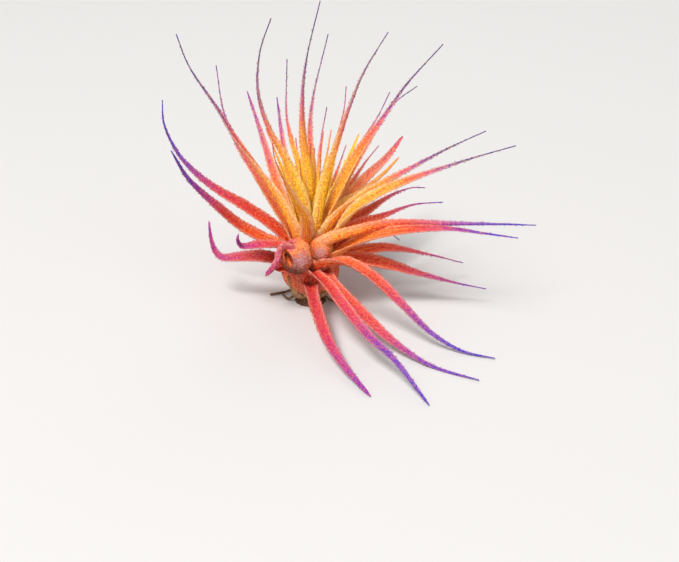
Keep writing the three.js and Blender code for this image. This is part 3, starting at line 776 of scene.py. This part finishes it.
# Painted shade: the knob's colour in the middle, and how much lighter it gets to the right and upwards.
KNOB_PAINTED_SHADE = (0.3, 0.22, 0.28)
SEAM_SHADE = 0.06  # how much paler the rim is than the ball inside
# Painted shade: the same for the hump.
HUMP_PAINTED_SHADE = (0.5, 0.06, 0.26)
KNOB_BLOOM = (0.2, 0.1)  # where the scales lie thickest
HUMP_BLOOM = (0.05, -0.05)
BLOOM_WIDTH = 0.6
BLOOM = (0.06, 1.16)  # how thick they lie away from there and there
SWELLING_SCALES = 1.2  # times as many as on a leaf
SWELLING_GRAIN = (2, 4, 7)  # how the grain lies: across, up, and its layer of the noise
POLE_LIE = Vector((0.01, 0, 0))  # which way the scales lie at the poles
# The darkest browns of these colours are painted shade, for the bottoms of the knob and the hump and for the
# hollow.
KNOB_LOOK = dict(dust="#b88060", stipple=0.12, opacity=0.15, grain=1, edge=0, rim="#ffd4bc", colours=[
    (0, "#481608"), (0.15, "#74280f"), (0.35, "#b04c22"), (0.55, "#dc6a2c"), (0.7, "#f49c46"),
    (0.84, "#de6a6a"), (1, "#e672a0")])


def bump_at(distance, width):
    """1 at a place and 0 away from it."""
    return exp(-(distance / width) ** 2)


def spot_at(right, up, place, width):
    """The same round a place on the knob."""
    return bump_at(hypot(right - place[0], up - place[1]), width)


def shaded(shade_rule, across, along):
    """The colour at a place, from the colour in the middle and the painted shade that changes it across and
    along.
    """
    return shade_rule[0] + shade_rule[1] * across + shade_rule[2] * along


def knob_skin(right, near, up):
    """How far the knob's skin stands out at a point of a ball, its colour with painted shade, and how thick
    the scales lie.
    """
    facing = max(0, near)
    side = right - HOLLOW[0]
    rise = up - HOLLOW[1]
    across = side * cos(HOLLOW_LEAN) + rise * sin(HOLLOW_LEAN)
    along = rise * cos(HOLLOW_LEAN) - side * sin(HOLLOW_LEAN)
    aside = hypot(across / HOLLOW_SIZE[0], along / HOLLOW_SIZE[1])
    hollow = facing * exp(-aside ** HOLLOW_STEEPNESS)
    rim = facing * bump_at(aside - RIM_PLACE[0], RIM_PLACE[1])
    out = hypot(right, up) - SEAM[0]
    seam = facing * max(0, right + up) * bump_at(out, SEAM[1])
    raised = rim * RIM_HEIGHT - hollow * HOLLOW_DEPTH - seam * SEAM_DEPTH
    rolled = spot_at(right, up, ROLL, ROLL_WIDTH)
    outside = min(1, max(0, out * SEAM_SHARPNESS))
    inside = min(1, HOLLOW_EDGE * hollow)
    # Painted shade: the ball is darker towards the bottom and on its left half.
    colour = shaded(KNOB_PAINTED_SHADE, max(0, right), up) + SEAM_SHADE * outside
    colour = between((colour, ROLL_SHADE), rolled)
    # Painted shade inside the hollow, darkest at its top under the rim.
    colour = between((colour, shaded(HOLLOW_PAINTED_SHADE, across, along)), inside)
    bloom = between(BLOOM, spot_at(right, up, KNOB_BLOOM, BLOOM_WIDTH))
    return raised, colour, bloom * (1 - inside) * (1 - ROLL_BARE * rolled)


def hump_skin(right, near, up):
    """The same for the hump, with painted shade that darkens it towards the bottom."""
    bloom = between(BLOOM, max(0, near) * spot_at(right, up, HUMP_BLOOM, BLOOM_WIDTH))
    return 0, shaded(HUMP_PAINTED_SHADE, right, up), bloom


knob_shape = bmesh.new()
knob_layers = skin_layers(knob_shape)
knob_blank = rod_blank(KNOB_RINGS, KNOB_SIDES)
for swelling, skin_rule in ((KNOB, knob_skin), (HUMP, hump_skin)):
    middle = seen(*swelling["place"])
    side, depth, height = swelling["reach"]
    for corner, ring, angle in rod_corners(knob_shape, knob_blank, KNOB_RINGS):
        rise = pi * (ring + 0.5) / (KNOB_RINGS + 1)
        right = sin(rise) * cos(angle)
        near = -sin(rise) * sin(angle)
        up = -cos(rise)
        spot = Vector((right, -near, up))
        raised, colour, bloom = skin_rule(right, near, up)
        dress(corner, knob_layers, ripeness=colour, scurf=bloom,
              cover=SWELLING_SCALES * SCALES_PER_MM2 / MM ** 2,
              grain=(right * SWELLING_GRAIN[0], up * SWELLING_GRAIN[1], SWELLING_GRAIN[2]),
              lie=Vector((0, 0, 1)).cross(spot) + POLE_LIE)
        reach = Vector((right * side, -near * depth, 0)) + view_up * (up * height)
        lump = reach.normalized() * (noise.noise(spot * KNOB_LUMP_RATE) * KNOB_LUMPS)
        corner.co = middle + (reach + lump + view_near * raised) * MM
knob = finished_piece("outer_leaf_knobs", knob_shape, leaf_finish("knob", KNOB_LOOK))
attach(knob, "root")
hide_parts("outer_leaves")

# The scales that cover every leaf: tiny pale flakes, each fixed by a stalk, that lie along the blade and lift
# one end off it. They drink for the plant, and make its skin look dusted.
SCALE_LENGTH = 0.66
SCALE_WIDTH = 0.42  # as a share of its length
SCALE_ROOT = 0.35  # how far from its middle it is fixed, as a share of its length
SCALE_SIZES = (0.45, 1)  # as a share of the longest
SCALE_TILT = (radians(-8), radians(-45))
SCALE_TURN = radians(45)  # either way
SCALE_SKIN = {"Roughness": 0.7, "Specular IOR Level": 0.2}
SCURF_OPACITY = 0.85  # of the scales where they lie thickest


def scale_blank(finish):
    """One scale: a pointed flake that lies along X, rooted near its end."""
    flake = bmesh.new()
    bmesh.ops.create_circle(flake, cap_ends=True, segments=4, radius=SCALE_LENGTH / 2 * MM)
    bmesh.ops.scale(flake, verts=flake.verts, vec=(1, SCALE_WIDTH, 1))
    bmesh.ops.translate(flake, verts=flake.verts, vec=(SCALE_LENGTH * SCALE_ROOT * MM, 0, 0))
    mesh = bpy.data.meshes.new("scale_blank")
    flake.to_mesh(mesh)
    flake.free()
    mesh.materials.append(finish)
    return bpy.data.objects.new("scale_blank", mesh)


def scales_piece(name, blades, seed, finish):
    """The scales of a whorl's leaves, scattered over their skin."""
    scatter = bpy.data.node_groups.new("scatter_scales", "GeometryNodeTree")
    for way in ("INPUT", "OUTPUT"):
        scatter.interface.new_socket("Geometry", in_out=way, socket_type="NodeSocketGeometry")
    add = partial(new_node, scatter)
    skin = add("NodeGroupInput", {})
    cover = add("GeometryNodeInputNamedAttribute", {"Name": "cover"})
    spots = add("GeometryNodeDistributePointsOnFaces", {
        "Mesh": skin.outputs[0], "Density": cover.outputs["Attribute"], "Seed": seed})
    lie = add("GeometryNodeInputNamedAttribute", {"Name": "lie"}, data_type="FLOAT_VECTOR")
    along = add("FunctionNodeAlignRotationToVector", {
        "Rotation": spots.outputs["Rotation"], "Vector": lie.outputs["Attribute"]}, axis="X", pivot_axis="Z")
    tilt = add("FunctionNodeRandomValue", {
        "Min": (0, SCALE_TILT[0], -SCALE_TURN), "Max": (0, SCALE_TILT[1], SCALE_TURN), "Seed": seed + 1,
    }, data_type="FLOAT_VECTOR")
    lifted = add("FunctionNodeRotateRotation", {
        "Rotation": along.outputs["Rotation"], "Rotate By": tilt.outputs["Value"]}, rotation_space="LOCAL")
    size = add("FunctionNodeRandomValue", {
        "Min": SCALE_SIZES[0], "Max": SCALE_SIZES[1], "Seed": seed + 2}, data_type="FLOAT")
    blank = add("GeometryNodeObjectInfo", {"Object": scale_blank(finish)})
    copies = add("GeometryNodeInstanceOnPoints", {
        "Points": spots.outputs["Points"], "Instance": blank.outputs["Geometry"],
        "Rotation": lifted.outputs["Rotation"], "Scale": size.outputs["Value"]})
    real = add("GeometryNodeRealizeInstances", {"Geometry": copies.outputs["Instances"]})
    add("NodeGroupOutput", {0: real.outputs["Geometry"]})

    piece = new_object(name, blades.data)
    piece.modifiers.new("scatter", "NODES").node_group = scatter
    grown = piece.evaluated_get(bpy.context.evaluated_depsgraph_get())
    mesh = bpy.data.meshes.new_from_object(grown)
    piece.modifiers.clear()
    piece.data = mesh
    mesh.name = name
    return piece


def scale_finish(name, look):
    """The scales themselves: thin and pale, with the leaf's colour showing through."""
    finish, tree, skin = new_finish(name, SCALE_SKIN)
    scurf = attribute(tree, "scurf")
    through = colour_ramp(tree, look["colours"], attribute(tree, "ripeness"))
    pale = mixed(tree, scurf, shade(look["dust"]), shade(SCURF_COLOUR))
    opacity = ranged(tree, scurf, after=(look["opacity"], SCURF_OPACITY))
    feed(skin, {"Base Color": mixed(tree, opacity, through, pale)})
    return finish


outer_scales = scales_piece("outer_leaf_scales", outer_blades, 1, scale_finish("outer_scale", OUTER_LOOK))
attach(outer_scales, "root")

knob_scales = scales_piece("outer_knob_scales", knob, 4, scale_finish("knob_scale", KNOB_LOOK))
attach(knob_scales, "root")

# The middle leaves: they spread over the bulb, orange to rose and violet at the tips, some recurved, and a
# few blunt where their tips have dried off. Their collar of sheaths stands inside that of the outer leaves.
MIDDLE_LEAVES = [
    dict(width=2.7, depth=(1, 24), ripe=(0.4, 0.56, 0.85), midrib=[
        (-4.4, 5), (-8.4, 12), (-12.4, 18.6), (-16.9, 25.5), (-20.5, 33.8), (-22.4, 45.2)]),
    dict(width=3.2, depth=(-3, 4), ripe=(0.08, 0.5, 0.96), midrib=[
        (-3.2, 4.2), (-6.9, 12.4), (-11.4, 19), (-17.6, 27.4), (-21.7, 34.3), (-29, 45.2), (-31.9, 52.6)]),
    dict(width=2.2, depth=(2, 30), ripe=(0.36, 0.52, 0.76), taper=0.75, midrib=[
        (-3.6, 6), (-7.4, 15.7), (-9.5, 22.1), (-12.4, 31.2), (-15, 39)]),
    dict(width=1.9, depth=(3.5, 36), ripe=(0.3, 0.42, 0.8), taper=0.75, midrib=[
        (-2.6, 8), (-4.6, 16), (-6.4, 26.2), (-7.9, 37.6)]),
    dict(width=2.5, depth=(-5, -22), ripe=(-0.04, 0.24, 0.44), sheath=(1, 0.45), midrib=[
        (-0.8, 3), (-1, 8.6), (-4.3, 14.3), (-8.3, 22.6), (-9, 26.9)]),
    dict(width=3.2, depth=(-1, 7), ripe=(0.1, 0.42, 1), midrib=[
        (3.4, 6), (7.9, 17.6), (11.9, 25), (16.9, 31.9), (22.9, 40.5), (31.7, 50.2)]),
    dict(width=2.3, depth=(2.5, 28), ripe=(0.16, 0.46, 0.9), midrib=[
        (3.4, 8), (8, 17), (14.3, 27.4), (20.2, 36.2), (25.5, 40.2)]),
    dict(width=2.4, depth=(3, 34), ripe=(0.14, 0.3, 0.85), midrib=[
        (3, 8.5), (7, 17.5), (12.4, 27), (16.2, 33.1), (19, 38.8)]),
    dict(width=2.8, depth=(3, 36), ripe=(0.36, 0.48, 0.6), taper=0.84, midrib=[
        (4.4, 7.5), (8.8, 13.4), (13.6, 18.6), (18.3, 23.2), (22.1, 28.3)]),
    dict(width=2.5, depth=(-2.5, 24), ripe=(0.18, 0.24, 0.34), taper=0.74, midrib=[
        (3.4, 4.6), (4.4, 9.6), (7, 12), (10.7, 14.2), (17.4, 19.3), (21.2, 23.3)]),
    dict(width=3.3, depth=(-3.5, 4), ripe=(0.16, 0.42, 1), midrib=[
        (3.4, 5), (7.5, 10.6), (13.1, 14.5), (17.9, 17.3), (22.4, 19.8), (33.3, 25.6), (41.9, 29.5)]),
    dict(width=3.4, depth=(-4.5, -9), ripe=(0.16, 0.36, 1), midrib=[
        (4.6, 2.8), (9.8, 10), (14.5, 13.6), (21.4, 17), (30, 20.2), (39.5, 23.3), (49, 26)]),
]
MIDDLE_BACK = dict(seed=5, count=8, arc=(45, 122), rise=(60, 36), length=(27, 34), droop=(6, 20), width=3,
                   ripe=(0.14, 0.34, 0.62))
MIDDLE_SHEATHS = dict(count=9, width=3.2, ripe=(0.1, 0.18, 0.3), midrib=[
    (3.8, 9.4), (5.1, 11), (4.9, 14), (4.1, 17)])
MIDDLE_ROOT = dict(radius=3.4, height=(9.8, 11.4), sheath=(0.5, 0.22))
MIDDLE_COLLAR = dict(ripe=0.1, outline=[
    (2.1, 8.8), (4.4, 8.6), (5, 10.6), (4.6, 13.4), (4, 14.6), (3.8, 12.2), (2.1, 12.2)])
# The first, darkest colour is painted shade at the leaf bases, where they crowd round the bulb.
MIDDLE_LOOK = dict(dust="#ffd488", stipple=0.18, opacity=0.4, grain=0.85, edge=1, rim="#ffecc8", colours=[
    (0, "#c84e12"), (0.1, "#f28e16"), (0.25, "#ffc424"), (0.38, "#f89c2c"), (0.5, "#e8643c"),
    (0.62, "#d65068"), (0.74, "#b4468e"), (0.86, "#6e3892"), (1, "#382e78")])

middle_whorl = whorl_leaves(MIDDLE_LEAVES, MIDDLE_ROOT, MIDDLE_BACK, MIDDLE_SHEATHS)
middle_skin = leaf_finish("middle_leaf", MIDDLE_LOOK)
middle_blades = blades_piece("middle_leaf_blades", middle_whorl, MIDDLE_COLLAR, middle_skin)
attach(middle_blades, "root")
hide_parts("middle_leaves")

middle_scaling = scale_finish("middle_scale", MIDDLE_LOOK)
middle_scales = scales_piece("middle_leaf_scales", middle_blades, 2, middle_scaling)
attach(middle_scales, "root")

# The inner leaves: the youngest and most upright, gold from the heart, coral above and grey-violet in the
# threads of their tips. They grow from the growing point on top of the stem.
INNER_LEAVES = [
    dict(width=2.9, depth=(-2.5, -4), ripe=(0.06, 0.46, 0.95), midrib=[
        (-1.7, 3.6), (-1.7, 12.4), (-6.2, 23.3), (-9.8, 30), (-12.4, 39), (-11.9, 48.6), (-9.3, 56.4)]),
    dict(width=2.2, depth=(1, 22), ripe=(0.1, 0.36, 0.9), midrib=[
        (0.7, 6.5), (-1.2, 17.9), (-3.6, 24.5), (-5.5, 32.4), (-5.5, 46.7)]),
    dict(width=2.4, depth=(-0.5, 9), ripe=(0.06, 0.48, 1), midrib=[
        (0, 4.8), (0.2, 17.6), (-1.4, 25), (-1.9, 36.2), (-0.9, 46.4), (2.4, 60.5)]),
    dict(width=2.1, depth=(2, 27), ripe=(0.25, 0.58, 0.95), midrib=[
        (1.2, 8), (0.6, 19.3), (0, 27.4), (0.5, 36.2), (4.3, 52.6)]),
    dict(width=2.4, depth=(-2, 10), ripe=(0.1, 0.32, 0.75), midrib=[
        (1, 5), (1.9, 19.3), (2.6, 27.4), (4, 35.2)]),
    dict(width=2.6, depth=(1.5, 24), ripe=(0.12, 0.36, 0.75), midrib=[
        (2.2, 9), (4.8, 21), (8.1, 34.8), (8.6, 40.2)]),
    dict(width=3.4, depth=(-2, 2), ripe=(0.1, 0.44, 0.9), midrib=[
        (1.7, 5), (3.3, 15.7), (6, 25), (9.3, 35.5), (12.6, 43.3), (18.6, 53.1)]),
    dict(width=2.6, depth=(0.5, 12), ripe=(0.14, 0.24, 0.34), taper=0.7, midrib=[
        (2.6, 7), (5.6, 14), (9, 22.4), (11.7, 29)]),
]
INNER_BACK = dict(seed=3, count=6, arc=(40, 140), rise=(84, 66), length=(24, 32), droop=(0, 6), width=2.7,
                  ripe=(0.14, 0.28, 0.5))
INNER_SHEATHS = dict(count=3, width=2.8, ripe=(0.1, 0.2, 0.3), midrib=[
    (2, 14), (3.2, 16), (2.7, 19), (1.8, 22)])
INNER_ROOT = dict(radius=1.4, height=(13.6, 15), sheath=(0.35, 0.22))
INNER_COLLAR = dict(ripe=0.1, outline=[(0, 12.6), (3, 12.6), (3.3, 15), (2.6, 18), (1.2, 20), (0, 20.4)])
# The first, darkest colour is painted shade at the leaf bases, where they crowd deep in the heart.
INNER_LOOK = dict(dust="#ffdc78", stipple=0.15, opacity=0.35, grain=0.8, edge=0.9, rim="#fff0b8", colours=[
    (0, "#b8540e"), (0.1, "#f4a618"), (0.25, "#ffdc2e"), (0.38, "#ffc834"), (0.5, "#f28e48"),
    (0.62, "#de5c6a"), (0.74, "#be548e"), (0.86, "#804c92"), (1, "#44387c")])

inner_whorl = whorl_leaves(INNER_LEAVES, INNER_ROOT, INNER_BACK, INNER_SHEATHS)
inner_skin = leaf_finish("inner_leaf", INNER_LOOK)
inner_blades = blades_piece("inner_leaf_blades", inner_whorl, INNER_COLLAR, inner_skin)
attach(inner_blades, "root")
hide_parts("inner_leaves")

inner_scales = scales_piece("inner_leaf_scales", inner_blades, 3, scale_finish("inner_scale", INNER_LOOK))
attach(inner_scales, "root")

# The floor and the light: a plain pale matt surface that fills the view, under a white sky and three soft
# studio lamps.
FLOOR_SIZE = 3
FLOOR_SKIN = {"Base Color": shade("#cccac8"), "Roughness": 0.8}
SKY = {"Color": shade("#ffffff"), "Strength": 0.42}
LAMP_AIM = (0, 15)  # right and up of the heart
LAMPS = [
    dict(name="key", place=(-0.55, -0.75, 1.5), size=0.55, power=36),
    dict(name="fill", place=(0.6, -0.5, 0.35), size=0.6, power=1),
    dict(name="back", place=(0.2, 0.7, 0.5), size=0.5, power=1.2),
]

ground = bmesh.new()
bmesh.ops.create_grid(ground, x_segments=1, y_segments=1, size=FLOOR_SIZE)
floor_finish, _, _ = new_finish("floor", FLOOR_SKIN)
floor = finished_piece("floor", ground, floor_finish)

sky = bpy.data.worlds.new("studio")
sky.use_nodes = True
feed(sky.node_tree.nodes["Background"], SKY)
bpy.context.scene.world = sky
bpy.context.scene.view_settings.view_transform = "Standard"
for lamp in LAMPS:
    light = bpy.data.lights.new(lamp["name"], "AREA")
    light.size = lamp["size"]
    light.energy = lamp["power"]
    holder = new_object(lamp["name"], light)
    holder.location = lamp["place"]
    holder.rotation_euler = (in_view(*LAMP_AIM) - holder.location).to_track_quat("-Z", "Y").to_euler()
